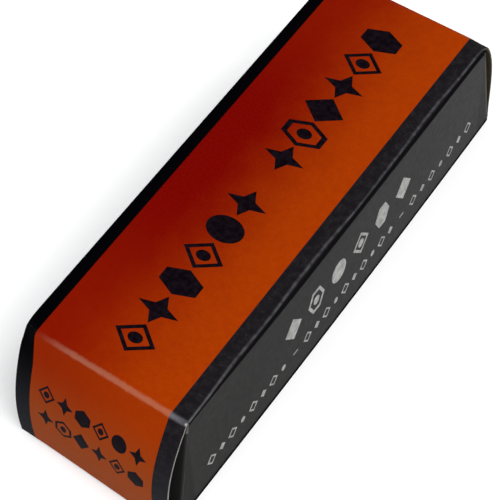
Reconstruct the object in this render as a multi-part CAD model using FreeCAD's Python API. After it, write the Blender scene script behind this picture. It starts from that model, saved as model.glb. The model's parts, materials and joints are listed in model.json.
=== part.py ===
import FreeCAD, Part
import math
import os

os.makedirs("parts", exist_ok=True)

# A bar of polishing compound in its folding carton. Millimetres.
# +Y runs from the front end to the rear end, +X to the right, +Z up.
# The origin is the middle of the bottom panel's underside.
# The carton's two ends lean outwards towards the bottom.

# Driving dimensions of the carton
carton_width = 35.5
carton_height = 29.0
top_length = 99.0
end_slope = 5.5
board = 0.4
crease_gap = 0.25

# Tuck flaps: where the bottom fold lies outside the top crease, and how far the flap bows out
fold_height = 0.62
flap_side_gap = 0.2
front_fold_reach = 7.2
front_bow = 2.3
rear_fold_reach = 5.6
rear_bow = 2.0

# Tongues on the tuck flaps, which lie on a slight rise towards their tips
tongue_length = 8.0
tongue_rise = 2.5
tongue_side_gap = 0.9
tongue_corner = 4.0

# Dust flaps, measured in the sloping end plane: across from the crease and down from the top
dust_length = 15.0
dust_crease_top = 2.6
dust_crease_bottom = 26.6
dust_top_angle = 33.0
dust_bottom_relief = 3.0
dust_corner = 2.0

# Glue seam inside the left panel
seam_height = 11.0
seam_end_inset = 3.0

# Compound bar
bar_side_gap = 0.7
bar_top_gap = 0.7
bar_base_height = 1.7
bar_end_gap = 1.5
bar_edge_radius = 1.6

half_width = carton_width / 2
half_top = top_length / 2
lean = math.atan(end_slope / carton_height)


def vector(x, y, z):
    return FreeCAD.Vector(x, y, z)


def end_reach(z):
    """How far an end's sloping edge lies outside the top crease at height z."""
    return end_slope * (carton_height - z) / carton_height


def flat_face(ring):
    return Part.Face(Part.makePolygon(ring + ring[:1]))


def panel(outer, inner):
    """A piece of board between its outer ring of corners and its inner one."""
    faces = [flat_face(outer), flat_face(inner)]
    for i in range(len(outer)):
        j = (i + 1) % len(outer)
        faces.append(flat_face([outer[i], outer[j], inner[j], inner[i]]))
    solid = Part.Solid(Part.Shell(faces))
    if solid.Volume < 0:
        solid.reverse()
    return solid


class TuckFlap:
    """The bowed arc of a tuck flap's outer face, in (reach, height) beside the top crease."""

    def __init__(self, fold_reach, bow):
        self.fold_reach = fold_reach
        drop = carton_height - fold_height
        chord = math.hypot(fold_reach, drop)
        self.radius = chord * chord / (8 * bow) + bow / 2
        half_turn = math.asin(chord / 2 / self.radius)
        tilt = math.atan2(fold_reach, drop)
        self.centre_reach = fold_reach / 2 - (self.radius - bow) * math.cos(tilt)
        self.centre_height = (carton_height + fold_height) / 2 - (self.radius - bow) * math.sin(tilt)
        # Angles from the outward direction, positive upwards
        self.top_angle = tilt + half_turn
        self.fold_angle = tilt - half_turn
        # The board is mitred at both folds, on the line that halves the angle between the pieces
        self.top_inset = board / math.tan((math.pi / 2 + self.top_angle) / 2)
        self.fold_inset = board / math.tan((math.pi / 2 - self.fold_angle) / 2)

    def point(self, radius, angle):
        reach = self.centre_reach + radius * math.cos(angle)
        height = self.centre_height + radius * math.sin(angle)
        return reach, height


tuck_flaps = {
    "front": TuckFlap(front_fold_reach, front_bow),
    "rear": TuckFlap(rear_fold_reach, rear_bow),
}
end_sign = {"front": -1, "rear": 1}


def make_top_panel():
    outer = []
    inner = []
    for side, end in [(-1, "front"), (1, "front"), (1, "rear"), (-1, "rear")]:
        sign = end_sign[end]
        edge = half_top - crease_gap
        inner_edge = edge - tuck_flaps[end].top_inset
        outer.append(vector(side * half_width, sign * edge, carton_height))
        inner.append(vector(side * (half_width - board), sign * inner_edge, carton_height - board))
    return panel(outer, inner)


def make_bottom_panel():
    edge = half_top + end_slope
    corners = [(-1, -1), (1, -1), (1, 1), (-1, 1)]
    outer = [vector(side * half_width, sign * edge, 0) for side, sign in corners]
    inner = [vector(side * (half_width - board), sign * edge, board) for side, sign in corners]
    return panel(outer, inner)


def make_side_panel(side):
    """A sloping-ended side, mitred into the top, the bottom and its dust flaps."""
    outer_inset = crease_gap / math.cos(lean)
    inner_inset = (crease_gap + board) / math.cos(lean)
    outer = []
    inner = []
    for sign, height in [(-1, 0), (1, 0), (1, carton_height), (-1, carton_height)]:
        inner_height = min(max(height, board), carton_height - board)
        reach = half_top + end_reach(height) - outer_inset
        inner_reach = half_top + end_reach(inner_height) - inner_inset
        outer.append(vector(side * half_width, sign * reach, height))
        inner.append(vector(side * (half_width - board), sign * inner_reach, inner_height))
    return panel(outer, inner)


def make_glue_seam():
    """The strip along the bottom panel's left edge, glued up the inside of the left panel."""
    outer = []
    inner = []
    for sign, height in [(-1, board), (1, board), (1, seam_height), (-1, seam_height)]:
        reach = half_top + end_reach(height) - seam_end_inset
        outer.append(vector(board - half_width, sign * reach, height))
        inner.append(vector(2 * board - half_width, sign * reach, height))
    return panel(outer, inner)


def make_tuck_flap(end):
    arc = tuck_flaps[end]
    sign = end_sign[end]
    width = carton_width - 2 * flap_side_gap

    def place(radius, angle):
        reach, height = arc.point(radius, angle)
        return vector(-width / 2, sign * (half_top + reach), height)

    def curve(radius, top_gap, fold_gap):
        first = arc.top_angle - top_gap / radius
        last = arc.fold_angle + fold_gap / radius
        return place(radius, first), place(radius, (first + last) / 2), place(radius, last)

    outer = curve(arc.radius, crease_gap, crease_gap)
    inner = curve(arc.radius - board, crease_gap + arc.top_inset, crease_gap + arc.fold_inset)
    edges = [
        Part.Arc(*outer).toShape(),
        Part.makeLine(outer[2], inner[2]),
        Part.Arc(*inner).toShape(),
        Part.makeLine(inner[0], outer[0]),
    ]
    section = Part.Face(Part.Wire(Part.__sortEdges__(edges)))
    return section.extrude(vector(width, 0, 0))


def make_tongue(end):
    """A plate with two rounded corners, from the bottom fold in over the bottom panel."""
    arc = tuck_flaps[end]
    sign = end_sign[end]
    fold = half_top + arc.fold_reach
    start = fold - crease_gap - arc.fold_inset
    tip = fold - tongue_length
    half = half_width - flap_side_gap - tongue_side_gap
    bend = tip + tongue_corner
    slack = tongue_corner * (1 - math.sqrt(0.5))

    def place(x, reach):
        return vector(x, sign * reach, fold_height)

    edges = [
        Part.makeLine(place(-half, start), place(half, start)),
        Part.makeLine(place(half, start), place(half, bend)),
        Part.Arc(
            place(half, bend), place(half - slack, tip + slack), place(half - tongue_corner, tip)
        ).toShape(),
        Part.makeLine(place(half - tongue_corner, tip), place(tongue_corner - half, tip)),
        Part.Arc(
            place(tongue_corner - half, tip), place(slack - half, tip + slack), place(-half, bend)
        ).toShape(),
        Part.makeLine(place(-half, bend), place(-half, start)),
    ]
    outline = Part.Face(Part.Wire(Part.__sortEdges__(edges)))
    tongue = outline.extrude(vector(0, 0, board))
    tongue.rotate(place(0, fold), vector(sign, 0, 0), -tongue_rise)
    return tongue


def make_dust_flap(end, side):
    """Hinged on the side panel's sloping edge and lying in the end plane, with tapered edges."""
    sign = end_sign[end]
    taper = math.tan(math.radians(dust_top_angle))
    free_top = dust_crease_top + dust_length * taper
    free_bottom = dust_crease_bottom - dust_bottom_relief

    def place(across, down, depth):
        x = side * (half_width - across)
        reach = half_top + down * math.sin(lean) - depth * math.cos(lean)
        height = carton_height - down * math.cos(lean) - depth * math.sin(lean)
        return vector(x, sign * reach, height)

    def ring(crease, depth):
        return [
            place(crease, dust_crease_top + crease * taper, depth),
            place(dust_length, free_top, depth),
            place(dust_length, free_bottom - dust_corner, depth),
            place(dust_length - dust_corner, free_bottom, depth),
            place(dust_bottom_relief, free_bottom, depth),
            place(crease, dust_crease_bottom - crease, depth),
        ]

    return panel(ring(crease_gap, 0), ring(crease_gap + board, board))


def make_compound_bar():
    """A cast ingot whose ends slope like the carton's."""
    half = half_width - board - bar_side_gap
    top = carton_height - board - bar_top_gap
    inset = (board + bar_end_gap) / math.cos(lean)
    corners = [(-1, bar_base_height), (1, bar_base_height), (1, top), (-1, top)]
    ring = [vector(-half, sign * (half_top + end_reach(z) - inset), z) for sign, z in corners]
    block = flat_face(ring).extrude(vector(2 * half, 0, 0))
    return block.makeFillet(bar_edge_radius, block.Edges)


def make_nodes():
    nodes = {
        "top_panel": make_top_panel(),
        "bottom_panel": make_bottom_panel(),
        "left_side_panel": make_side_panel(-1),
        "right_side_panel": make_side_panel(1),
        "glue_seam": make_glue_seam(),
        "compound_bar": make_compound_bar(),
    }
    for end in ("front", "rear"):
        nodes[end + "_tuck_flap"] = make_tuck_flap(end)
        nodes[end + "_tuck_tongue"] = make_tongue(end)
        nodes[end + "_left_dust_flap"] = make_dust_flap(end, -1)
        nodes[end + "_right_dust_flap"] = make_dust_flap(end, 1)
    return nodes


for name, shape in make_nodes().items():
    shape.exportStep("parts/" + name + ".step")
    print(name, "valid", shape.isValid(), "volume", round(shape.Volume, 2))
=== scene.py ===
import bpy
import bmesh
import json
import math
import numpy as np
from mathutils import Matrix, Vector


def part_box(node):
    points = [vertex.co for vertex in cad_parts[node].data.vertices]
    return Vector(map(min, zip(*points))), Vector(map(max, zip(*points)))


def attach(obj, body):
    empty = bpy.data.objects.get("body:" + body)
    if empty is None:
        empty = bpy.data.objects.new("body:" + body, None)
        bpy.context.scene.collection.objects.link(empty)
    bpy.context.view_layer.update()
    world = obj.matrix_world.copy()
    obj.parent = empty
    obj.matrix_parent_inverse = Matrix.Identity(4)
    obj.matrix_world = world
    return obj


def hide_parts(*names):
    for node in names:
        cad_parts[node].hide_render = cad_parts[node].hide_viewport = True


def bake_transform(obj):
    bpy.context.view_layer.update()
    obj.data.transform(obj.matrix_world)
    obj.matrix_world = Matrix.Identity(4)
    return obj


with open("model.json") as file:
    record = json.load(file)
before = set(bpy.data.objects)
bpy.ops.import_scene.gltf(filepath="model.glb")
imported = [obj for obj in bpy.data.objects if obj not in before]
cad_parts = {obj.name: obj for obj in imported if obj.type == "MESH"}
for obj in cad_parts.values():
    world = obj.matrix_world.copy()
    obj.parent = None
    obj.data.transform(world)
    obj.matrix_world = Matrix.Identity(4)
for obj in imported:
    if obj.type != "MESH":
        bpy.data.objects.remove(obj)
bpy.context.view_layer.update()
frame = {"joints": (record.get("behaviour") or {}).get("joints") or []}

# ---------------------------------------------------------------------------
# Driving sizes, in metres. The carton's own sizes come from the frame.
# ---------------------------------------------------------------------------
MM = 0.001


def joint_place(name):
    """The point that a joint turns about, in the row frame."""
    joint = next(j for j in frame["joints"] if j["name"] == name)
    return Vector(joint["pos_m"])


bottom_low, bottom_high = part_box("bottom_panel")
HALF_WIDTH = bottom_high.x
BOARD = bottom_high.z - bottom_low.z
HEIGHT = joint_place("front_flap_fold").z
FOLD_HEIGHT = joint_place("front_tongue_fold").z
HALF_TOP = joint_place("rear_flap_fold").y
HALF_BOTTOM = bottom_high.y
SLOPE = HALF_BOTTOM - HALF_TOP
LEAN = math.atan(SLOPE / HEIGHT)
END_SIGN = {"front": -1, "rear": 1}
SHARP_ANGLE = math.radians(40)  # edges bent more than this are shaded sharp

TOP_FOLD_ROUNDING = 0.45 * MM   # how far the board curves each side of a long fold
BASE_FOLD_ROUNDING = 0.22 * MM
PANEL_STEP = 1.6 * MM           # mesh spacing around the sleeve, and beside its folds
FOLD_STEP = 0.16 * MM
BASE_EDGE_GAP = 0.3 * MM        # how far the left panel's free edge stops above the floor
END_SHARE = 0.12                # share of the half length with a finer mesh
SEAM_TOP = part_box("glue_seam")[1].z
SEAM_INSET = 3.0 * MM
BELLY = 0.35 * MM               # how far the side panels swell out at the middle of their base

CREASE_LAP = 0.5 * MM           # how far a flap's piece runs back past its crease
CREASE_RUN = 0.9 * MM           # how soon after its crease a flap moves as a whole
CREASE_SOFTNESS = 1.0 * MM      # length of board that bends at a crease
CREASE_LEAD = 6.0 * MM          # how far back from a crease its rounding may reach
FOLD_LEAD = 0.9 * MM            # how far a tongue's piece runs back past its fold
FOLD_RUN = 0.5 * MM             # how soon after its fold a tongue moves as a whole
FLAP_COLUMNS = 41
PROFILE_COUNT = 25              # how many outlines across a flap are worked out
FLAP_SIDE_GAP = 0.15 * MM

# Tuck flaps, left side then right side: how far they bulge past a straight line, where the
# bulge is greatest as a share of the way down, how far the bottom fold stands out, and the
# length of board that bends at the top crease
FLAP_BULGE = {"front": (2.05 * MM, 3.05 * MM), "rear": (2.0 * MM, 2.2 * MM)}
BULGE_PLACE = {"front": (0.53, 0.48), "rear": (0.42, 0.36)}
FLAP_REACH = {"front": (6.8 * MM, 7.7 * MM), "rear": (5.6 * MM, 5.5 * MM)}
SOFT_LEFT = {"front": 4.2 * MM, "rear": 2.5 * MM}
SOFT_RIGHT = {"front": 0.9 * MM, "rear": 3.6 * MM}
SOFT_CORNER = 7.0 * MM          # how far in from a side the extra rounding goes
# The crushed corners: (end, side) to depth, width across, and middle and spread down the board
CRUSHED = {
    ("front", -1): (0.75 * MM, 3.0 * MM, 0.6 * MM, 2.6 * MM),
    ("rear", 1): (0.4 * MM, 4.0 * MM, 0.0, 1.5 * MM),
}
TONGUE_LENGTH = 7.9 * MM
TONGUE_RISE = math.radians(2.5)
TONGUE_HALF_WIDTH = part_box("front_tuck_tongue")[1].x
TONGUE_NARROWING = 0.8 * MM     # length over which the flap narrows to the tongue
TONGUE_CORNER = 4.0 * MM
PRINT_LAP = 2.5 * MM            # how far the print runs on past the fold

# Dust flaps, across from the crease and down from the top in the sloping end plane
DUST_LENGTH = 15.0 * MM
DUST_TOP = 2.6 * MM
DUST_BOTTOM = 26.6 * MM
DUST_TAPER = math.tan(math.radians(33.0))
DUST_RELIEF = 3.0 * MM
DUST_CORNER = 2.0 * MM
DUST_DIP = 0.35 * MM            # how far the tip leans in behind the tuck flap

# Print on the blank, in millimetres across from the middle of the top panel
BAND_LEFT = -15.0
BAND_RIGHT = 14.1
TOP_FOLD = HALF_WIDTH / MM
BOTTOM_FOLD = (HALF_WIDTH + HEIGHT) / MM
CREASE_LINE = HALF_TOP / MM
INK_RISE = 0.012 * MM
INK_SINK = 0.03 * MM


# ---------------------------------------------------------------------------
# The board: maps from the flat blank to the folded carton
# ---------------------------------------------------------------------------
def smooth_step(x):
    x = np.clip(x, 0.0, 1.0)
    return x * x * (3 - 2 * x)


def end_reach(z):
    """How far the sloping end stands out past the top panel's crease at a height."""
    return SLOPE * (HEIGHT - z) / HEIGHT


RING_END = 3 * HALF_WIDTH + HEIGHT - BOARD


def ring_point(across):
    """A point of the sleeve's outer section and its outward normal.

    across runs over the blank: 0 is the middle of the top, positive to the right and down.
    Beyond the bottom panel it turns up inside the left panel, as the glue seam.
    """
    w, h = HALF_WIDTH, HEIGHT
    if across < -w:
        place, normal = (-w, h + (across + w)), (-1.0, 0.0)
    elif across <= w:
        place, normal = (across, h), (0.0, 1.0)
    elif across <= w + h:
        place, normal = (w, h - (across - w)), (1.0, 0.0)
    elif across <= RING_END:
        place, normal = (w - (across - w - h), 0.0), (0.0, -1.0)
    else:
        place, normal = (BOARD - w, across - RING_END), (-1.0, 0.0)
    return np.array(place), np.array(normal)


def section_point(across):
    """ring_point with its corners rounded, by averaging over a short stretch of board."""
    rounding = TOP_FOLD_ROUNDING if abs(across) < HALF_WIDTH + HEIGHT / 2 else BASE_FOLD_ROUNDING
    offsets = np.linspace(-1, 1, 9) * rounding
    lowest = -(HALF_WIDTH + HEIGHT)
    highest = RING_END + SEAM_TOP
    reach = min(1.0, (across - lowest) / offsets[-1], (highest - across) / offsets[-1])
    places = [ring_point(across + o * max(reach, 0.0))[0] for o in offsets]
    return np.mean(places, axis=0)


def panel_warp(across, along):
    """The gentle swell of each panel and the small waves of real board, in metres."""
    a = across / MM
    y = along / MM
    ripple = 0.05 * math.sin(a * 0.31 + y * 0.11 + 0.7) + 0.04 * math.sin(y * 0.23 - a * 0.17)
    if abs(across) <= HALF_WIDTH:
        edge = 1 - (across / HALF_WIDTH) ** 2
    else:
        middle = HALF_WIDTH + HEIGHT / 2
        edge = max(0.0, 1 - ((abs(across) - middle) / (HEIGHT / 2)) ** 2)
    along_share = max(0.0, 1 - (along / HALF_TOP) ** 2)
    return (0.12 * edge * along_share + ripple * edge * 0.5) * MM


def sleeve_point(across, along):
    """The outer face of the sleeve, along running from the front to the rear."""
    x, z = section_point(across)
    swell = panel_warp(across, along) if across < HALF_WIDTH + HEIGHT else 0.0
    normal = ring_point(across)[1]
    belly = BELLY * max(0.0, 1 - (along / HALF_BOTTOM) ** 2) * smooth_step(1 - z / HEIGHT)
    x *= 1 + belly / HALF_WIDTH
    # Near an end crease the top follows the crease's own rounding
    end = "front" if along < 0 else "rear"
    past = abs(along) - HALF_TOP
    share = smooth_step((z - HEIGHT) / CREASE_LEAD + 1)
    if past > -CREASE_LEAD and share > 0:
        rounded = flap_point(end, x, min(past, 0.0))
        z += (rounded[2] - HEIGHT) * share
        along += END_SIGN[end] * (abs(rounded[1]) - HALF_TOP - min(past, 0.0)) * share
    return np.array([x + normal[0] * swell, along, z + normal[1] * swell])


def end_outline(reach, bulge, place):
    """Sharp outline of an end in (outward, height): top panel, bulging flap and tongue."""
    share = np.linspace(0, 1, 400)
    steepness = 2.4
    before, after = steepness * place, steepness * (1 - place)
    swell = share ** before * (1 - share) ** after
    swell *= bulge / swell.max()
    drop = HEIGHT - FOLD_HEIGHT
    chord = math.hypot(reach, drop)
    flap = np.stack([
        reach * share + swell * drop / chord,
        HEIGHT - drop * share + swell * reach / chord,
    ], 1)
    lead = np.linspace(-CREASE_LEAD, 0, 60)[:-1]
    top = np.stack([lead, np.full(len(lead), HEIGHT)], 1)
    run = np.linspace(0, TONGUE_LENGTH + CREASE_LEAD, 200)[1:]
    tongue = np.stack([
        reach - run * math.cos(TONGUE_RISE),
        FOLD_HEIGHT + run * math.sin(TONGUE_RISE),
    ], 1)
    length = np.linalg.norm(np.diff(flap, axis=0), axis=1).sum()
    return np.concatenate([top, flap, tongue]), length


class EndProfile:
    """An end's outline at one place across, measured by distance down from the crease."""

    STEP = 0.05 * MM

    def __init__(self, reach, bulge, place, softness):
        points, self.flap_length = end_outline(reach, bulge, place)
        steps = np.linalg.norm(np.diff(points, axis=0), axis=1)
        distance = np.concatenate([[0], np.cumsum(steps)]) - CREASE_LEAD
        self.distance = np.arange(distance[0], distance[-1], self.STEP)
        sharp = np.stack([np.interp(self.distance, distance, points[:, k]) for k in (0, 1)], 1)
        # From 5 to 10 mm down, the crease's softness gives way to the fold's
        lower = smooth_step((self.distance - 5 * MM) / (5 * MM))[:, None]
        at_crease = self.smoothed(sharp, softness)
        at_fold = self.smoothed(sharp, CREASE_SOFTNESS)
        self.points = at_crease * (1 - lower) + at_fold * lower

    def smoothed(self, sharp, softness):
        half = int(softness / 2 / self.STEP)
        kernel = np.hanning(2 * half + 3)[1:-1]
        kernel /= kernel.sum()
        padded = np.pad(sharp, ((half, half), (0, 0)), mode="reflect", reflect_type="odd")
        return np.stack([np.convolve(padded[:, k], kernel, "valid") for k in (0, 1)], 1)

    def at(self, distance):
        return np.array([np.interp(distance, self.distance, self.points[:, k]) for k in (0, 1)])


def end_profiles(end, count):
    """Profiles from the left side of a tuck flap to its right side."""
    profiles = []
    for x in np.linspace(-HALF_WIDTH, HALF_WIDTH, count):
        s = smooth_step((x / HALF_WIDTH + 1) / 2)
        bulge, place, reach = (
            pair[end][0] + (pair[end][1] - pair[end][0]) * s
            for pair in (FLAP_BULGE, BULGE_PLACE, FLAP_REACH)
        )
        near_side = smooth_step((abs(x) - HALF_WIDTH) / SOFT_CORNER + 1)
        at_side = (SOFT_LEFT if x < 0 else SOFT_RIGHT)[end]
        softness = CREASE_SOFTNESS + (at_side - CREASE_SOFTNESS) * near_side
        profiles.append(EndProfile(reach, bulge, place, softness))
    return profiles


PROFILES = {end: end_profiles(end, PROFILE_COUNT) for end in END_SIGN}


def flap_point(end, across, distance):
    """The outer face of a tuck flap or tongue, distance down from its crease."""
    place = (across / HALF_WIDTH + 1) / 2 * (PROFILE_COUNT - 1)
    low = int(np.clip(math.floor(place), 0, PROFILE_COUNT - 2))
    share = np.clip(place - low, 0, 1)
    first, second = PROFILES[end][low], PROFILES[end][low + 1]
    reach, height = first.at(distance) * (1 - share) + second.at(distance) * share
    crushed = CRUSHED.get((end, -1 if across < 0 else 1))
    if crushed:
        # The corner is pushed in and down, along a 3-4-5 slope
        depth, width, middle, spread = crushed
        depth *= smooth_step((abs(across) - HALF_WIDTH) / width + 1)
        depth *= math.exp(-((distance - middle) / spread) ** 2)
        reach -= 0.6 * depth
        height -= 0.8 * depth
    return np.array([across, END_SIGN[end] * (HALF_TOP + reach), height])


def dust_point(end, side, across, down):
    """The outer face beside a sloping side edge; across is negative on the side panel."""
    offsets = np.linspace(-0.5, 0.5, 9) * CREASE_SOFTNESS
    weights = np.hanning(11)[1:-1]
    over = np.clip(across + offsets, 0, None)
    back = np.clip(across + offsets, None, 0)
    inward = float((over * weights).sum() / weights.sum())
    behind = float((back * weights).sum() / weights.sum())
    dip = DUST_DIP * math.sin(min(max(across, 0) / DUST_LENGTH, 1) * math.pi / 2) ** 2
    sign = END_SIGN[end]
    reach = HALF_TOP + down * math.sin(LEAN) + (behind - dip) * math.cos(LEAN)
    height = HEIGHT - down * math.cos(LEAN) + (behind - dip) * math.sin(LEAN)
    return np.array([side * (HALF_WIDTH - inward), sign * reach, height])


# ---------------------------------------------------------------------------
# Meshes
# ---------------------------------------------------------------------------
def grid_normals(points):
    du = np.gradient(points, axis=0)
    dv = np.gradient(points, axis=1)
    normals = np.cross(du, dv)
    return normals / np.maximum(np.linalg.norm(normals, axis=2, keepdims=True), 1e-12)


def mesh_object(name, points, faces, slots, materials, blank=None, smooth=True):
    mesh = bpy.data.meshes.new(name)
    mesh.from_pydata([tuple(p) for p in points], [], faces)
    for material in materials:
        mesh.materials.append(material)
    mesh.polygons.foreach_set("material_index", slots)
    if blank is not None:
        layer = mesh.attributes.new("blank", "FLOAT_VECTOR", "POINT")
        layer.data.foreach_set("vector", np.asarray(blank, np.float32).ravel())
    mesh.polygons.foreach_set("use_smooth", [smooth] * len(mesh.polygons))
    mesh.update()
    mesh.set_sharp_from_angle(angle=SHARP_ANGLE)
    made = bpy.data.objects.new(name, mesh)
    bpy.context.scene.collection.objects.link(made)
    return made


def board_piece(name, outer, blank, materials, flip=False):
    """A closed piece of board from a grid of outer points: print, kraft and cut edge."""
    rows, columns, _ = outer.shape
    normals = grid_normals(outer) * (-1 if flip else 1)
    inner = outer - normals * BOARD
    count = rows * columns
    points = np.concatenate([outer.reshape(-1, 3), inner.reshape(-1, 3)])
    blank = np.concatenate([blank.reshape(-1, 3)] * 2)
    index = np.arange(count).reshape(rows, columns)
    faces, slots = [], []

    def quad(a, b, c, d, slot):
        ring = (a, b, c, d) if not flip else (d, c, b, a)
        faces.append(tuple(int(k) for k in ring))
        slots.append(slot)

    for i in range(rows - 1):
        for j in range(columns - 1):
            a, b = index[i, j], index[i + 1, j]
            c, d = index[i + 1, j + 1], index[i, j + 1]
            quad(a, b, c, d, 0)
            quad(d + count, c + count, b + count, a + count, 1)
    for i in range(rows - 1):
        for j, turned in ((0, False), (columns - 1, True)):
            a, b = index[i, j], index[i + 1, j]
            if turned:
                a, b = b, a
            quad(b, a, a + count, b + count, 2)
    for j in range(columns - 1):
        for i, turned in ((0, True), (rows - 1, False)):
            a, b = index[i, j], index[i, j + 1]
            if turned:
                a, b = b, a
            quad(b, a, a + count, b + count, 2)
    return mesh_object(name, points, faces, slots, materials, blank)


def fold_stops(low, high, folds, step, fine):
    """Places from low to high, closer together beside each fold."""
    stops = list(np.arange(low, high, step)) + [high]
    for fold in folds:
        stops += [fold + k * fine for k in range(-6, 7)]
    stops = sorted(s for s in stops if low <= s <= high)
    kept = [stops[0]]
    for s in stops[1:]:
        if s - kept[-1] > fine * 0.6:
            kept.append(s)
    kept[-1] = high
    return np.array(kept)


def make_sleeve(materials):
    """The carton's tube: one piece of board, with a finer mesh at its folds and ends."""
    low, high = -(HALF_WIDTH + HEIGHT), RING_END + SEAM_TOP
    folds = [-HALF_WIDTH, HALF_WIDTH, HALF_WIDTH + HEIGHT, RING_END]
    acrosses = fold_stops(low + BASE_EDGE_GAP, high, folds, PANEL_STEP, FOLD_STEP)
    near_end = END_SHARE * np.linspace(0, 1, 17)
    middle = np.linspace(END_SHARE - 1, 1 - END_SHARE, 66)
    shares = np.concatenate([-1 + near_end[:-1], middle, 1 - near_end[-2::-1]])
    outer = np.zeros((len(acrosses), len(shares), 3))
    blank = np.zeros_like(outer)
    for i, across in enumerate(acrosses):
        z = section_point(across)[1]
        on_bottom = HALF_WIDTH + HEIGHT < across < RING_END
        end = HALF_TOP + end_reach(z) - (0 if on_bottom else CREASE_LAP / math.cos(LEAN))
        if across > RING_END:
            end -= SEAM_INSET * smooth_step((across - RING_END) / (2 * MM))
        for j, share in enumerate(shares):
            along = share * end
            outer[i, j] = sleeve_point(across, along)
            blank[i, j] = (across / MM, along / MM, 0)
    return board_piece("carton_sleeve", outer, blank, materials)


def fold_bend(end):
    """Where the bend from a tuck flap to its tongue starts and ends, on the middle line."""
    length = PROFILES[end][PROFILE_COUNT // 2].flap_length
    return flap_point(end, 0.0, length - FOLD_LEAD), flap_point(end, 0.0, length + FOLD_RUN)


def tongue_start(end, across):
    """Distance down from the crease at which the tongue's piece takes over from the flap's."""
    start, finish = fold_bend(end)
    direction = finish - start
    length = PROFILES[end][PROFILE_COUNT // 2].flap_length
    distances = np.linspace(length - 3 * MM, length + 1 * MM, 161)
    places = [(flap_point(end, across, d) - start) @ direction for d in distances]
    return float(np.interp(0.0, places, distances))


def make_tuck_flap(end, materials):
    """A bowed tuck flap, from its crease to where the tongue's piece starts."""
    sign = END_SIGN[end]
    half = HALF_WIDTH - FLAP_SIDE_GAP
    acrosses = np.linspace(-half, half, FLAP_COLUMNS)
    past_crease = 1.2 * MM
    lead = np.linspace(-CREASE_LAP, past_crease, 18)[:-1]
    rows = 34
    outer = np.zeros((len(acrosses), len(lead) + rows, 3))
    blank = np.zeros_like(outer)
    for i, across in enumerate(acrosses):
        rest = np.linspace(past_crease, tongue_start(end, across), rows)
        stops = np.concatenate([lead, rest])
        for j, distance in enumerate(stops):
            outer[i, j] = flap_point(end, across, distance)
            blank[i, j] = (across / MM, sign * (HALF_TOP + distance) / MM, 0)
    piece = board_piece(end + "_tuck_flap_board", outer, blank, materials, flip=sign < 0)
    finish = Vector(flap_point(end, 0.0, CREASE_RUN))
    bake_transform(piece)
    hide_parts(end + "_tuck_flap")
    return piece


def make_tongue(end, materials):
    """The tongue that tucks in over the bottom panel, with rounded corners."""
    sign = END_SIGN[end]
    shares = np.linspace(-1, 1, FLAP_COLUMNS)
    full_half = HALF_WIDTH - FLAP_SIDE_GAP
    # Distances past the fold: fine over the bend, coarse after it, and fine around the corners
    past_bend = 1.0 * MM
    places = np.concatenate([
        np.linspace(-FOLD_LEAD, past_bend, 16)[:-1],
        np.linspace(past_bend, TONGUE_LENGTH - TONGUE_CORNER, 8)[:-1],
        TONGUE_LENGTH - TONGUE_CORNER * (1 - np.sin(np.linspace(0, math.pi / 2, 12))),
    ])
    outer = np.zeros((len(shares), len(places), 3))
    blank = np.zeros_like(outer)
    for i, share in enumerate(shares):
        fold = tongue_start(end, share * full_half) + FOLD_LEAD
        for j, place in enumerate(places):
            half = full_half
            half -= (full_half - TONGUE_HALF_WIDTH) * smooth_step(place / TONGUE_NARROWING)
            past = max(0.0, place - (TONGUE_LENGTH - TONGUE_CORNER))
            half -= TONGUE_CORNER - math.sqrt(max(0.0, TONGUE_CORNER ** 2 - past ** 2))
            bare = smooth_step((place - PRINT_LAP) / (0.1 * MM))
            outer[i, j] = flap_point(end, share * half, fold + place)
            blank[i, j] = (share * half / MM, sign * (HALF_TOP + fold + place) / MM, bare)
    piece = board_piece(end + "_tuck_tongue_board", outer, blank, materials, flip=sign < 0)
    start, finish = fold_bend(end)
    Vector(start)
    Vector(finish)
    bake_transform(piece)
    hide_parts(end + "_tuck_tongue")
    return piece


def make_dust_flap(end, side, materials):
    """A tapered flap behind a tuck flap, creased along a side panel's sloping edge."""
    sign = END_SIGN[end]
    word = "left" if side < 0 else "right"
    past_crease = 1.0 * MM
    acrosses = np.concatenate([
        np.linspace(-CREASE_LAP, past_crease, 14)[:-1],
        np.linspace(past_crease, DUST_LENGTH - DUST_CORNER, 12)[:-1],
        DUST_LENGTH - DUST_CORNER * (1 - np.sin(np.linspace(0, math.pi / 2, 8))),
    ])
    shares = np.linspace(0, 1, 25)
    outer = np.zeros((len(acrosses), len(shares), 3))
    blank = np.zeros_like(outer)
    for i, across in enumerate(acrosses):
        high = DUST_TOP + max(across, 0) * DUST_TAPER
        low = DUST_BOTTOM - min(max(across, 0), DUST_RELIEF)
        past = max(0.0, across - (DUST_LENGTH - DUST_CORNER))
        rounding = DUST_CORNER - math.sqrt(max(0.0, DUST_CORNER ** 2 - past ** 2))
        for j, share in enumerate(shares):
            down = high + rounding + (low - high - 2 * rounding) * share
            outer[i, j] = dust_point(end, side, across, down)
            reach = HALF_TOP + down * math.sin(LEAN) + across * math.cos(LEAN)
            spread = HALF_WIDTH + down * math.cos(LEAN) - across * math.sin(LEAN)
            blank[i, j] = (side * spread / MM, sign * reach / MM, 0)
    flip = side * sign > 0
    piece = board_piece(f"{end}_{word}_dust_board", outer, blank, materials, flip=flip)
    down = (DUST_TOP + DUST_BOTTOM) / 2
    start = Vector(dust_point(end, side, -CREASE_LAP, down))
    finish = Vector(dust_point(end, side, CREASE_RUN, down))
    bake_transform(piece)
    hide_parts(f"{end}_{word}_dust_flap")
    return piece


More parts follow.
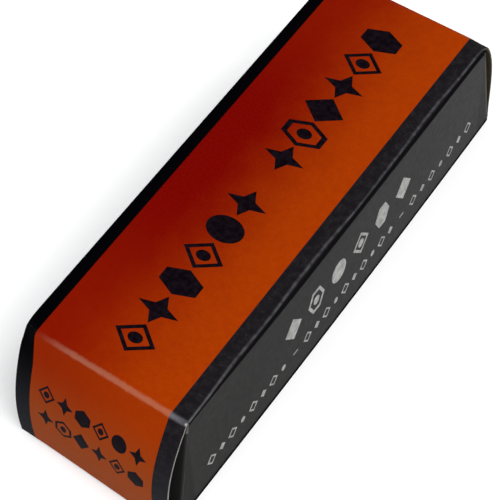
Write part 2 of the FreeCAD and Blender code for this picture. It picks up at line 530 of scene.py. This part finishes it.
# ---------------------------------------------------------------------------
# Printed marks: plain geometric shapes, as thin layers of ink on the board
# ---------------------------------------------------------------------------
def outline(shape, count=48):
    """Points around a shape that fits a unit square, in order."""
    angles = np.linspace(0, 2 * math.pi, count, endpoint=False)
    if shape == "disc":
        return np.stack([np.cos(angles), np.sin(angles)], 1) / 2
    dent = 0.15
    corners = np.array({
        "diamond": [(0.5, 0), (0, 0.5), (-0.5, 0), (0, -0.5)],
        "square": [(0.5, 0.5), (-0.5, 0.5), (-0.5, -0.5), (0.5, -0.5)],
        "star": [
            (0.5, 0), (dent, dent), (0, 0.5), (-dent, dent),
            (-0.5, 0), (-dent, -dent), (0, -0.5), (dent, -dent),
        ],
        "hexagon": [(0.5, 0.22), (0, 0.5), (-0.5, 0.22), (-0.5, -0.22), (0, -0.5), (0.5, -0.22)],
    }[shape], float)
    ahead = np.roll(corners, -1, axis=0)
    shares = np.arange(count // len(corners)) * len(corners) / count
    return np.concatenate([a + (b - a) * shares[:, None] for a, b in zip(corners, ahead)])


def stamp(shape, centre, size, hollow, surface):
    """One mark as a closed thin ring or disc of ink. Returns its points and faces."""
    edge = outline(shape) * np.array(size)
    count = len(edge)
    shares = np.linspace(hollow, 1, 4)
    points, faces = [], []
    for layer in (INK_RISE, -INK_SINK):
        for share in shares:
            for dx, dy in edge * share:
                points.append(surface(centre[0] + dx, centre[1] + dy, layer))
    rings = len(shares)

    def at(layer, ring, k):
        return layer * rings * count + ring * count + k % count

    last = rings - 1
    for k in range(count):
        for r in range(last):
            faces.append((at(0, r, k), at(0, r + 1, k), at(0, r + 1, k + 1), at(0, r, k + 1)))
            faces.append((at(1, r, k + 1), at(1, r + 1, k + 1), at(1, r + 1, k), at(1, r, k)))
        faces.append((at(0, last, k), at(1, last, k), at(1, last, k + 1), at(0, last, k + 1)))
        if hollow > 0:
            faces.append((at(0, 0, k + 1), at(1, 0, k + 1), at(1, 0, k), at(0, 0, k)))
    return points, faces


def make_marks(name, body, marks, surface, material):
    """marks is a list of (shape, centre, size, hollow) in metres on the blank."""
    points, faces = [], []
    for mark in marks:
        new_points, new_faces = stamp(*mark, surface)
        shift = len(points)
        points += new_points
        faces += [tuple(k + shift for k in face) for face in new_faces]
    made = mesh_object(name, points, faces, [0] * len(faces), [material], smooth=False)
    bm = bmesh.new()
    bm.from_mesh(made.data)
    bmesh.ops.remove_doubles(bm, verts=bm.verts, dist=1e-7)
    bmesh.ops.recalc_face_normals(bm, faces=bm.faces)
    bm.to_mesh(made.data)
    bm.free()
    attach(made, body)
    return made


def lifted(point_of, sign=1):
    """A surface function for stamps: a point on the blank, raised along the board's normal."""

    def surface(across, along, rise):
        step = 0.05 * MM
        here = point_of(across, along)
        du = point_of(across + step, along) - point_of(across - step, along)
        dv = point_of(across, along + step) - point_of(across, along - step)
        normal = np.cross(du, dv) * sign
        return here + normal / np.linalg.norm(normal) * rise

    return surface


# Each mark is one or more stamps: shape, share of the mark's size, and open share of its middle
DOTTED_DIAMOND = (("diamond", 1.0, 0.72), ("disc", 0.34, 0.0))
DOTTED_HEXAGON = (("hexagon", 1.0, 0.74), ("disc", 0.36, 0.0))
OPEN_DIAMOND = (("diamond", 1.0, 0.64),)
SMALL_DIAMOND = (("diamond", 0.66, 0.0),)
SMALL_DISC = (("disc", 0.46, 0.0),)
STAR = (("star", 1.0, 0.0),)
SOLID_DIAMOND = (("diamond", 1.0, 0.0),)
SOLID_HEXAGON = (("hexagon", 0.92, 0.0),)
SOLID_DISC = (("disc", 0.88, 0.0),)
FIRST_SIX = [DOTTED_DIAMOND, STAR, SOLID_HEXAGON, DOTTED_DIAMOND, SOLID_DISC, STAR]
SECOND_SIX = [STAR, DOTTED_HEXAGON, SOLID_DIAMOND, STAR, DOTTED_DIAMOND, SOLID_HEXAGON]
SIDE_SIX = [SOLID_DIAMOND, DOTTED_HEXAGON, SOLID_DISC, DOTTED_DIAMOND, SOLID_HEXAGON, SOLID_DIAMOND]
FINE_MARKS = [OPEN_DIAMOND, SMALL_DIAMOND, OPEN_DIAMOND, SMALL_DISC]


# Where the rows of marks are. A mark's size is across the blank, then along it.
TOP_LINE = 0.2 * MM
TOP_GROUPS = ((-40.6 * MM, -6.6 * MM, FIRST_SIX), (5.6 * MM, 39.4 * MM, SECOND_SIX))
TOP_MARK = (8.7 * MM, 6.4 * MM)
SIDE_HEIGHT = 16.6 * MM
SIDE_GROUP = (-17.9 * MM, 19.9 * MM, SIDE_SIX)
SIDE_MARK = (6.8 * MM, 5.4 * MM)
FINE_HEIGHT = 7.8 * MM
FINE_GROUPS = ((-44.3 * MM, -21.5 * MM, 8), (-13.5 * MM, 15.5 * MM, 10), (24.0 * MM, 45.3 * MM, 7))
FINE_MARK = (3.5 * MM, 2.8 * MM)
DASHES = (-17.5 * MM, 19.7 * MM)
DASH = (0.5 * MM, 1.5 * MM)
FLAP_ROWS = ((11.9 * MM, FIRST_SIX), (18.2 * MM, SECOND_SIX))
FLAP_ROW_HALF = 10.5 * MM
FLAP_MARK = (3.8 * MM, 4.6 * MM)


def mark_row(first, last, across, size, marks):
    """Evenly spaced marks along a line of the blank that runs from front to rear."""
    places = np.linspace(first, last, len(marks))
    return [
        (shape, (across, along), (size[0] * share, size[1] * share), hollow)
        for mark, along in zip(marks, places)
        for shape, share, hollow in mark
    ]


def make_top_marks(ink):
    """Two groups of large marks along the band."""
    marks = []
    for first, last, six in TOP_GROUPS:
        marks += mark_row(first, last, TOP_LINE, TOP_MARK, six)
    make_marks("top_marks", "sleeve", marks, lifted(sleeve_point), ink)


def make_side_marks(side, ink):
    """A row of large marks on a side panel, and under it one fine row in three groups with dashes between.
    """
    word = "left" if side < 0 else "right"
    across = side * (HALF_WIDTH + HEIGHT - SIDE_HEIGHT)
    fine_across = side * (HALF_WIDTH + HEIGHT - FINE_HEIGHT)
    first, last, six = SIDE_GROUP
    marks = mark_row(first, last, across, SIDE_MARK, six)
    for first, last, count in FINE_GROUPS:
        fine = [FINE_MARKS[k % len(FINE_MARKS)] for k in range(count)]
        marks += mark_row(first, last, fine_across, FINE_MARK, fine)
    marks += [("square", (fine_across, along), DASH, 0.0) for along in DASHES]
    make_marks(f"{word}_side_marks", "sleeve", marks, lifted(sleeve_point), ink)


def make_flap_marks(end, ink):
    """Two short rows of small marks across a tuck flap."""

    def surface_point(across, distance):
        return flap_point(end, across, distance)

    marks = []
    for distance, six in FLAP_ROWS:
        for mark, x in zip(six, np.linspace(-FLAP_ROW_HALF, FLAP_ROW_HALF, len(six))):
            for shape, share, hollow in mark:
                size = (FLAP_MARK[0] * share, FLAP_MARK[1] * share)
                marks.append((shape, (x, distance), size, hollow))
    surface = lifted(surface_point, sign=END_SIGN[end])
    make_marks(f"{end}_flap_marks", f"{end}_flap", marks, surface, ink)


# ---------------------------------------------------------------------------
# Materials. Places on the print are in millimetres on the flat blank, and colours are linear.
# ---------------------------------------------------------------------------
class Graph:
    """Short names for building a material's nodes."""

    def __init__(self, name):
        self.material = bpy.data.materials.new(name)
        self.material.use_nodes = True
        self.tree = self.material.node_tree
        self.shader = self.tree.nodes["Principled BSDF"]

    def put(self, socket, value):
        if isinstance(value, bpy.types.NodeSocket):
            self.tree.links.new(value, socket)
        else:
            socket.default_value = value

    def node(self, kind, **settings):
        made = self.tree.nodes.new(kind)
        for key, value in settings.items():
            setattr(made, key, value)
        return made

    def math(self, operation, a, b=0.0):
        made = self.node("ShaderNodeMath", operation=operation)
        self.put(made.inputs[0], a)
        self.put(made.inputs[1], b)
        return made.outputs[0]

    def times(self, *factors):
        product = factors[0]
        for factor in factors[1:]:
            product = self.math("MULTIPLY", product, factor)
        return product

    def centred(self, value, width):
        """A noise value about 0, so that it wanders by up to half of width each way."""
        return self.times(self.math("SUBTRACT", value, 0.5), width)

    def ramp(self, value, low, high, to_low=0.0, to_high=1.0, kind="SMOOTHSTEP"):
        made = self.node("ShaderNodeMapRange", interpolation_type=kind)
        for socket, number in zip(made.inputs[:5], (value, low, high, to_low, to_high)):
            self.put(socket, number)
        return made.outputs[0]

    def mix(self, share, first, second):
        made = self.node("ShaderNodeMix", data_type="RGBA")
        self.put(made.inputs["Factor"], share)
        self.put(made.inputs[6], first)
        self.put(made.inputs[7], second)
        return made.outputs[2]

    def noise(self, vector, scale, detail=3.0, roughness=0.55):
        made = self.node("ShaderNodeTexNoise")
        self.put(made.inputs["Vector"], vector)
        made.inputs["Scale"].default_value = scale
        made.inputs["Detail"].default_value = detail
        made.inputs["Roughness"].default_value = roughness
        return made.outputs["Fac"]

    def line(self, distance, width):
        """1 on a line and 0 past its width, from a signed distance."""
        return self.ramp(self.math("ABSOLUTE", distance), 0.0, width, 1.0, 0.0)

    def surface(self, base, roughness, specular):
        self.put(self.shader.inputs["Base Color"], base)
        self.put(self.shader.inputs["Roughness"], roughness)
        self.put(self.shader.inputs["Specular IOR Level"], specular)

    def bump(self, height, strength, distance):
        made = self.node("ShaderNodeBump")
        made.inputs["Strength"].default_value = strength
        made.inputs["Distance"].default_value = distance
        self.put(made.inputs["Height"], height)
        self.tree.links.new(made.outputs["Normal"], self.shader.inputs["Normal"])


def colour(r, g, b):
    return (r, g, b, 1.0)


def blank_place(g):
    """Sockets for the place on the flat blank, and for how bare the board is there."""
    place = g.node("ShaderNodeAttribute", attribute_name="blank").outputs["Vector"]
    parts = g.node("ShaderNodeSeparateXYZ")
    g.put(parts.inputs[0], place)
    return place, parts.outputs[0], parts.outputs[1], parts.outputs[2]


class Print:
    """What the layers of the print share: the place on the blank, its mottling and the flaps."""

    def __init__(self, g):
        self.place, self.across, self.along, self.bare = blank_place(g)
        self.spread = g.math("ABSOLUTE", self.across)
        self.reach = g.math("ABSOLUTE", self.along)
        self.medium = g.noise(self.place, 0.7, 4.0)
        self.fine = g.noise(self.place, 2.4, 3.0, 0.7)
        self.mottled = g.ramp(self.medium, 0.35, 0.7)
        self.grain = g.ramp(self.fine, 0.32, 0.68)
        self.on_flap = g.ramp(self.reach, CREASE_LINE - 0.5, CREASE_LINE + 1.0)
        # How far down a tuck flap, for the painted reflection of the floor there
        self.floor_reflection_down_flap = g.ramp(self.reach, CREASE_LINE + 3.0, CREASE_LINE + 20.0)


def orange_print(g, p):
    """Orange ink, finely grained: redder and darker on the left and brighter on the right, a painted sheen
    from the right.
    """
    middle, far = 10.0, 44.0
    wander = g.centred(g.noise(p.place, 0.16, 4.0), 8.0)
    # The share from red to orange across the band is a painted sheen, brighter towards the right
    reddest = g.ramp(p.reach, middle, far, -10.0, -13.5)
    painted_sheen_across = g.ramp(g.math("ADD", p.across, wander), reddest, 13.0)
    red = g.mix(g.ramp(p.reach, middle, far), colour(0.118, 0.0004, 0.0001), colour(0.158, 0.0054, 0.0001))
    orange = g.mix(painted_sheen_across, red, colour(0.262, 0.027, 0.0002))
    speckle = g.mix(painted_sheen_across, colour(0.200, 0.0040, 0.0001), colour(0.330, 0.036, 0.0004))
    orange = g.mix(g.times(p.grain, 0.36), orange, speckle)
    orange = g.mix(g.times(p.mottled, 0.12), orange, colour(0.10, 0.0015, 0.0001))
    # The tuck flaps are evened out to a browner orange, and towards their bottom folds a paler wash is
    # painted as a reflection of the floor
    orange = g.mix(g.times(p.on_flap, 0.5), orange, colour(0.195, 0.018, 0.0002))
    return g.mix(g.times(p.floor_reflection_down_flap, 0.85), orange, colour(0.180, 0.037, 0.0065))


def black_print(g, p):
    """Black ink, lighter on the right as a painted sheen, with grainy paler spots there, and a paler
    painted reflection of the floor down the tuck flaps.
    """
    # Painted sheen: the black is lighter towards the right
    painted_sheen_right = g.ramp(p.across, 0.0, 17.0)
    black = g.mix(painted_sheen_right, colour(0.0004, 0.0003, 0.0008), colour(0.0070, 0.0060, 0.0076))
    black = g.mix(g.times(painted_sheen_right, p.grain, p.mottled, 0.7), black, colour(0.023, 0.020, 0.022))
    # Down the tuck flaps a paler wash is painted, as a reflection of the floor
    return g.mix(g.times(p.floor_reflection_down_flap, 0.5), black, colour(0.014, 0.015, 0.018))


def side_print(g, p, black):
    """Dark grey side panels, lighter towards the rear as a painted sheen, with black along their folds.

    Returns the ink, and how much of it is grey.
    """
    # Painted sheen: the grey is lighter towards the rear
    painted_rear_sheen = g.ramp(p.along, -50.0, 50.0)
    grey = g.mix(painted_rear_sheen, colour(0.0180, 0.0180, 0.0174), colour(0.0290, 0.0285, 0.0295))
    grey = g.mix(g.times(g.ramp(p.medium, 0.3, 0.7), 0.25), grey, colour(0.015, 0.015, 0.015))
    border = g.ramp(p.along, -CREASE_LINE, -15.0, TOP_FOLD + 0.6, TOP_FOLD + 1.8)
    past_border = g.math("SUBTRACT", g.math("ADD", p.spread, g.centred(p.medium, 0.5)), border)
    from_base = g.math("ABSOLUTE", g.math("SUBTRACT", p.spread, BOTTOM_FOLD))
    near_base = g.ramp(from_base, 0.9, 1.9, 1.0, 0.0)
    share = g.times(g.ramp(past_border, 0.0, 0.7), g.math("SUBTRACT", 1.0, near_base))
    past_fold = g.ramp(p.spread, TOP_FOLD - 0.2, TOP_FOLD + 0.3)
    black = g.mix(past_fold, black, colour(0.0040, 0.0038, 0.0044))
    return g.mix(share, black, grey), share


def orange_band(g, p):
    """1 where the ink is orange: a band along the top panel and down both tuck flaps."""
    blur = 0.05
    place = g.math("ADD", p.across, g.centred(p.fine, 0.12))
    flap_shift = g.ramp(p.along, -CREASE_LINE - 8.0, -CREASE_LINE, 0.7, 0.0)
    in_left = g.ramp(g.math("SUBTRACT", place, flap_shift), BAND_LEFT - blur, BAND_LEFT + blur)
    in_right = g.ramp(place, BAND_RIGHT + blur, BAND_RIGHT - blur)
    return g.times(in_left, in_right)


def crease_wear_and_highlight(g, p, ink):
    """A pale line on the front crease, partly worn ink and partly a painted highlight on its bend, which
    fades out at its left end.
    """
    from_crease = g.math("ABSOLUTE", g.math("ADD", p.along, CREASE_LINE - 0.1))
    line = g.ramp(g.math("ADD", from_crease, g.centred(p.medium, 0.7)), 0.25, 0.90, 1.0, 0.0)
    from_left = g.ramp(p.across, -16.0, -6.0)
    to_right = g.ramp(p.across, 14.5, 17.6, 1.0, 0.55)
    on_top = g.ramp(p.spread, TOP_FOLD + 0.3, TOP_FOLD - 0.2)
    on_black = g.ramp(p.across, BAND_RIGHT - 0.1, BAND_RIGHT + 0.1)
    # Worn ink and a painted highlight on the crease's bend
    wear_and_highlight_tone = g.mix(on_black, colour(0.44, 0.28, 0.18), colour(0.40, 0.40, 0.46))
    return g.mix(g.times(line, from_left, to_right, on_top, 0.21), ink, wear_and_highlight_tone)


def fold_wear(g, p, ink):
    """A thin broken line beside the right top fold, stronger near the front."""
    drift = g.ramp(g.noise(p.place, 0.035, 1.0), 0.3, 0.7, 0.0, 0.7)
    line = g.line(g.math("ADD", g.math("SUBTRACT", p.spread, TOP_FOLD), drift), 0.48)
    on_right = g.ramp(p.across, 0.0, 1.0)
    before_crease = g.ramp(p.reach, CREASE_LINE - 1.0, CREASE_LINE - 0.3, 1.0, 0.0)
    near_front = g.ramp(p.along, -CREASE_LINE, -CREASE_LINE + 14.0, 0.12, 0.0)
    share = g.math("ADD", g.ramp(p.medium, 0.38, 0.62, 0.07, 0.15), near_front)
    return g.mix(g.times(line, on_right, before_crease, share), ink, colour(0.30, 0.30, 0.31))


def side_edge_wear(g, p, ink):
    """A pale edge down the rear of each side panel, where its dust flap folds in."""
    sloping = g.ramp(p.spread, TOP_FOLD, BOTTOM_FOLD, 0.0, SLOPE / MM, kind="LINEAR")
    line = g.line(g.math("SUBTRACT", p.along, g.math("ADD", sloping, CREASE_LINE - 0.35)), 0.7)
    down = g.ramp(p.spread, TOP_FOLD + 2.0, TOP_FOLD + 6.0, 0.0, 0.7)
    return g.mix(g.times(line, down), ink, colour(0.075, 0.074, 0.070))


def corner_wear(g, p, ink):
    """A bare spot on the front right corner."""
    x = g.math("SUBTRACT", p.across, TOP_FOLD - 0.2)
    y = g.math("ADD", p.along, CREASE_LINE)
    distance = g.math("SQRT", g.math("ADD", g.math("POWER", x, 2.0), g.math("POWER", y, 2.0)))
    return g.mix(g.ramp(distance, 0.1, 0.45, 0.45, 0.0), ink, colour(0.62, 0.60, 0.58))


def printed_material():
    """The printed face of the blank. The bare part of a tongue has no ink."""
    g = Graph("printed_board")
    p = Print(g)
    dark, grey_share = side_print(g, p, black_print(g, p))
    ink = g.mix(orange_band(g, p), dark, orange_print(g, p))
    for wear in (crease_wear_and_highlight, fold_wear, side_edge_wear, corner_wear):
        ink = wear(g, p, ink)
    # Black on the side panels has no sheen, and the flaps have half of the top panel's
    sheen = g.math("MAXIMUM", grey_share, g.ramp(p.spread, TOP_FOLD + 0.4, TOP_FOLD))
    sheen = g.times(g.ramp(sheen, 0.0, 1.0, 0.0, 0.013), g.ramp(p.on_flap, 0.0, 1.0, 1.0, 0.5))
    g.surface(
        g.mix(p.bare, ink, colour(0.30, 0.29, 0.26)),
        g.ramp(p.medium, 0.2, 0.8, 0.42, 0.52),
        sheen,
    )
    g.bump(g.math("ADD", g.times(p.fine, 0.35), g.times(p.medium, 0.65)), 0.10, 0.0004)
    return g.material


def kraft_material():
    """The unprinted inner face of the board, its kraft tone darkened as painted shade."""
    g = Graph("board_back")
    place = blank_place(g)[0]
    fibres = g.noise(place, 1.4, 6.0, 0.65)
    blotch = g.ramp(g.noise(place, 0.25, 3.0), 0.3, 0.7)
    # A kraft tone, darkened as painted shade
    tone = g.mix(blotch, colour(0.040, 0.031, 0.014), colour(0.056, 0.044, 0.021))
    tone = g.mix(g.times(g.ramp(fibres, 0.45, 0.7), 0.45), tone, colour(0.026, 0.020, 0.009))
    g.surface(tone, g.ramp(fibres, 0.2, 0.8, 0.75, 0.9), 0.15)
    g.bump(fibres, 0.3, 0.0003)
    return g.material


def cut_edge_material():
    """The board's cut edges, darkened on the rear flap as painted shade."""
    g = Graph("board_cut_edge")
    place, _, along, _ = blank_place(g)
    fibres = g.noise(place, 3.0, 4.0, 0.7)
    tone = g.mix(g.ramp(fibres, 0.3, 0.7), colour(0.12, 0.115, 0.105), colour(0.24, 0.235, 0.22))
    # Painted shade on the rear flap's cut edges
    painted_rear_shade = g.ramp(along, CREASE_LINE - 2.0, CREASE_LINE + 1.0, 0.0, 0.85)
    tone = g.mix(painted_rear_shade, tone, colour(0.020, 0.020, 0.014))
    g.surface(tone, g.ramp(fibres, 0.2, 0.8, 0.8, 0.95), 0.1)
    g.bump(fibres, 0.4, 0.0002)
    return g.material


def ink_material(name, dark, light, roughness):
    g = Graph(name)
    place = g.node("ShaderNodeTexCoord").outputs["Object"]
    wear = g.noise(place, 900.0, 4.0, 0.6)
    speckle = g.ramp(g.noise(place, 4200.0, 2.0), 0.55, 0.75)
    tone = g.mix(g.ramp(wear, 0.3, 0.7), dark, light)
    tone = g.mix(g.times(speckle, 0.35), tone, dark)
    g.surface(tone, g.ramp(wear, 0.2, 0.8, roughness - 0.05, roughness + 0.05), 0.012)
    return g.material


def compound_material():
    """Waxy reddish compound with pores and paler smears."""
    g = Graph("wax_compound")
    place = g.node("ShaderNodeTexCoord").outputs["Object"]
    broad = g.noise(place, 60.0, 5.0, 0.6)
    pores = g.noise(place, 900.0, 3.0, 0.6)
    smear = g.noise(place, 220.0, 4.0, 0.5)
    tone = g.mix(g.ramp(broad, 0.3, 0.7), colour(0.36, 0.055, 0.012), colour(0.47, 0.095, 0.022))
    tone = g.mix(g.times(g.ramp(smear, 0.5, 0.8), 0.35), tone, colour(0.56, 0.20, 0.09))
    tone = g.mix(g.times(g.ramp(pores, 0.58, 0.75), 0.5), tone, colour(0.20, 0.026, 0.008))
    g.surface(tone, g.ramp(smear, 0.2, 0.8, 0.38, 0.62), 0.4)
    g.bump(g.math("ADD", g.times(smear, 0.6), g.times(pores, 0.4)), 0.35, 0.0006)
    return g.material


def floor_material():
    g = Graph("studio_floor")
    place = g.node("ShaderNodeTexCoord").outputs["Object"]
    cloud = g.noise(place, 6.0, 2.0)
    g.surface(g.mix(cloud, colour(0.93, 0.93, 0.93), colour(0.96, 0.96, 0.96)), 0.8, 0.1)
    return g.material


# ---------------------------------------------------------------------------
# The bar of compound
# ---------------------------------------------------------------------------
BAR_EDGE_RADIUS = 1.6 * MM
BAR_SHRINK = 0.06 * MM          # how far its faces lie inside the CAD bar's


def bar_ripple(x, y, z):
    """The mould's faint ripples, at a place in metres."""
    return 0.025 * MM * (math.sin(310 * y + 90 * z) + math.sin(420 * x - 130 * y))


def make_bar(material):
    """A cast ingot with sloping ends, rounded edges and faintly rippled faces."""
    low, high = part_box("compound_bar")
    bm = bmesh.new()
    slope = SLOPE * (high.z - low.z) / HEIGHT
    corners = []
    for z, half_y in ((low.z, high.y), (high.z, high.y - slope)):
        for x, y in ((-1, -1), (1, -1), (1, 1), (-1, 1)):
            corners.append(bm.verts.new((x * high.x, y * half_y, z)))
    for ring in ((3, 2, 1, 0), (4, 5, 6, 7), (0, 1, 5, 4), (1, 2, 6, 5), (2, 3, 7, 6), (3, 0, 4, 7)):
        bm.faces.new([corners[k] for k in ring])
    bmesh.ops.bevel(
        bm, geom=bm.edges[:], offset=BAR_EDGE_RADIUS, segments=5, profile=0.5, affect="EDGES",
    )
    long_edges = [e for e in bm.edges if e.calc_length() > 20 * MM]
    bmesh.ops.subdivide_edges(bm, edges=long_edges, cuts=30, use_grid_fill=True)
    bmesh.ops.triangulate(bm, faces=[f for f in bm.faces if len(f.verts) > 4])
    bmesh.ops.recalc_face_normals(bm, faces=bm.faces)
    bm.normal_update()
    for vertex in bm.verts:
        vertex.co -= vertex.normal * (BAR_SHRINK + bar_ripple(*vertex.co))
    mesh = bpy.data.meshes.new("compound_ingot")
    bm.to_mesh(mesh)
    bm.free()
    mesh.materials.append(material)
    mesh.polygons.foreach_set("use_smooth", [True] * len(mesh.polygons))
    ingot = bpy.data.objects.new("compound_ingot", mesh)
    bpy.context.scene.collection.objects.link(ingot)
    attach(ingot, "bar")
    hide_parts("compound_bar")
    return ingot


# ---------------------------------------------------------------------------
# Build
# ---------------------------------------------------------------------------
board_materials = [printed_material(), kraft_material(), cut_edge_material()]
black_ink = ink_material("black_ink", colour(0.0020, 0.0010, 0.0020), colour(0.006, 0.0035, 0.006), 0.42)
pale_ink = ink_material("pale_ink", colour(0.20, 0.20, 0.195), colour(0.34, 0.34, 0.33), 0.5)

sleeve = make_sleeve(board_materials)
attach(sleeve, "sleeve")
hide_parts("top_panel", "bottom_panel", "left_side_panel", "right_side_panel", "glue_seam")

for end_name in END_SIGN:
    make_tuck_flap(end_name, board_materials)
    make_tongue(end_name, board_materials)
    for side_sign in (-1, 1):
        make_dust_flap(end_name, side_sign, board_materials)
make_bar(compound_material())

make_top_marks(black_ink)
for side_sign in (-1, 1):
    make_side_marks(side_sign, pale_ink)
for end_name in END_SIGN:
    make_flap_marks(end_name, black_ink)


# ---------------------------------------------------------------------------
# Floor, light and camera
# ---------------------------------------------------------------------------
def make_floor():
    bm = bmesh.new()
    bmesh.ops.create_grid(bm, x_segments=8, y_segments=8, size=3.0)
    mesh = bpy.data.meshes.new("studio_floor")
    bm.to_mesh(mesh)
    bm.free()
    mesh.materials.append(floor_material())
    floor = bpy.data.objects.new("studio_floor", mesh)
    floor.location = (0, 0, -0.05 * MM)
    bpy.context.scene.collection.objects.link(floor)


def make_light(name, place, size, power, tint=(1, 1, 1)):
    """A soft rectangular light that points at the object."""
    data = bpy.data.lights.new(name, "AREA")
    data.shape = "RECTANGLE"
    data.size, data.size_y = size
    data.energy = power
    data.color = tint
    light = bpy.data.objects.new(name, data)
    light.location = place
    aim = Vector((0, 0, 0.01)) - Vector(place)
    light.rotation_mode = "QUATERNION"
    light.rotation_quaternion = aim.to_track_quat("-Z", "Y")
    bpy.context.scene.collection.objects.link(light)


def make_world(strength):
    world = bpy.data.worlds.new("studio")
    bpy.context.scene.world = world
    world.use_nodes = True
    background = world.node_tree.nodes["Background"]
    background.inputs["Color"].default_value = (1, 1, 1, 1)
    background.inputs["Strength"].default_value = strength


def make_camera(place, right, down, lens):
    """A camera from its place and the directions of its picture's right and downward edges."""
    data = bpy.data.cameras.new("camera")
    data.sensor_width = 36.0
    data.lens = lens
    data.clip_start = 0.01
    data.clip_end = 10.0
    camera = bpy.data.objects.new("camera", data)
    right = right.normalized()
    up = -(down - right * down.dot(right)).normalized()
    turn = Matrix((right, up, right.cross(up))).transposed()
    camera.matrix_world = Matrix.Translation(place) @ turn.to_4x4()
    bpy.context.scene.collection.objects.link(camera)
    bpy.context.scene.camera = camera


make_floor()
make_light("key_softbox", (0.55, -0.10, 0.75), (0.7, 0.7), 7.6)
make_light("front_softbox", (-0.25, -0.70, 0.45), (0.7, 0.5), 4.2, (0.97, 0.98, 1.0))
make_light("back_softbox", (0.35, 0.70, 0.60), (0.6, 0.5), 3.6)
make_light("left_softbox", (-0.75, -0.15, 0.40), (0.5, 0.6), 2.2)
make_world(0.30)
make_camera(
    place=Vector((0.10925, -0.1496, 0.2865)),
    right=Vector((0.8221, 0.5686, -0.0300)),
    down=Vector((0.46165, -0.6964, -0.5494)),
    lens=123.85,
)
bpy.context.scene.view_settings.view_transform = "Standard"
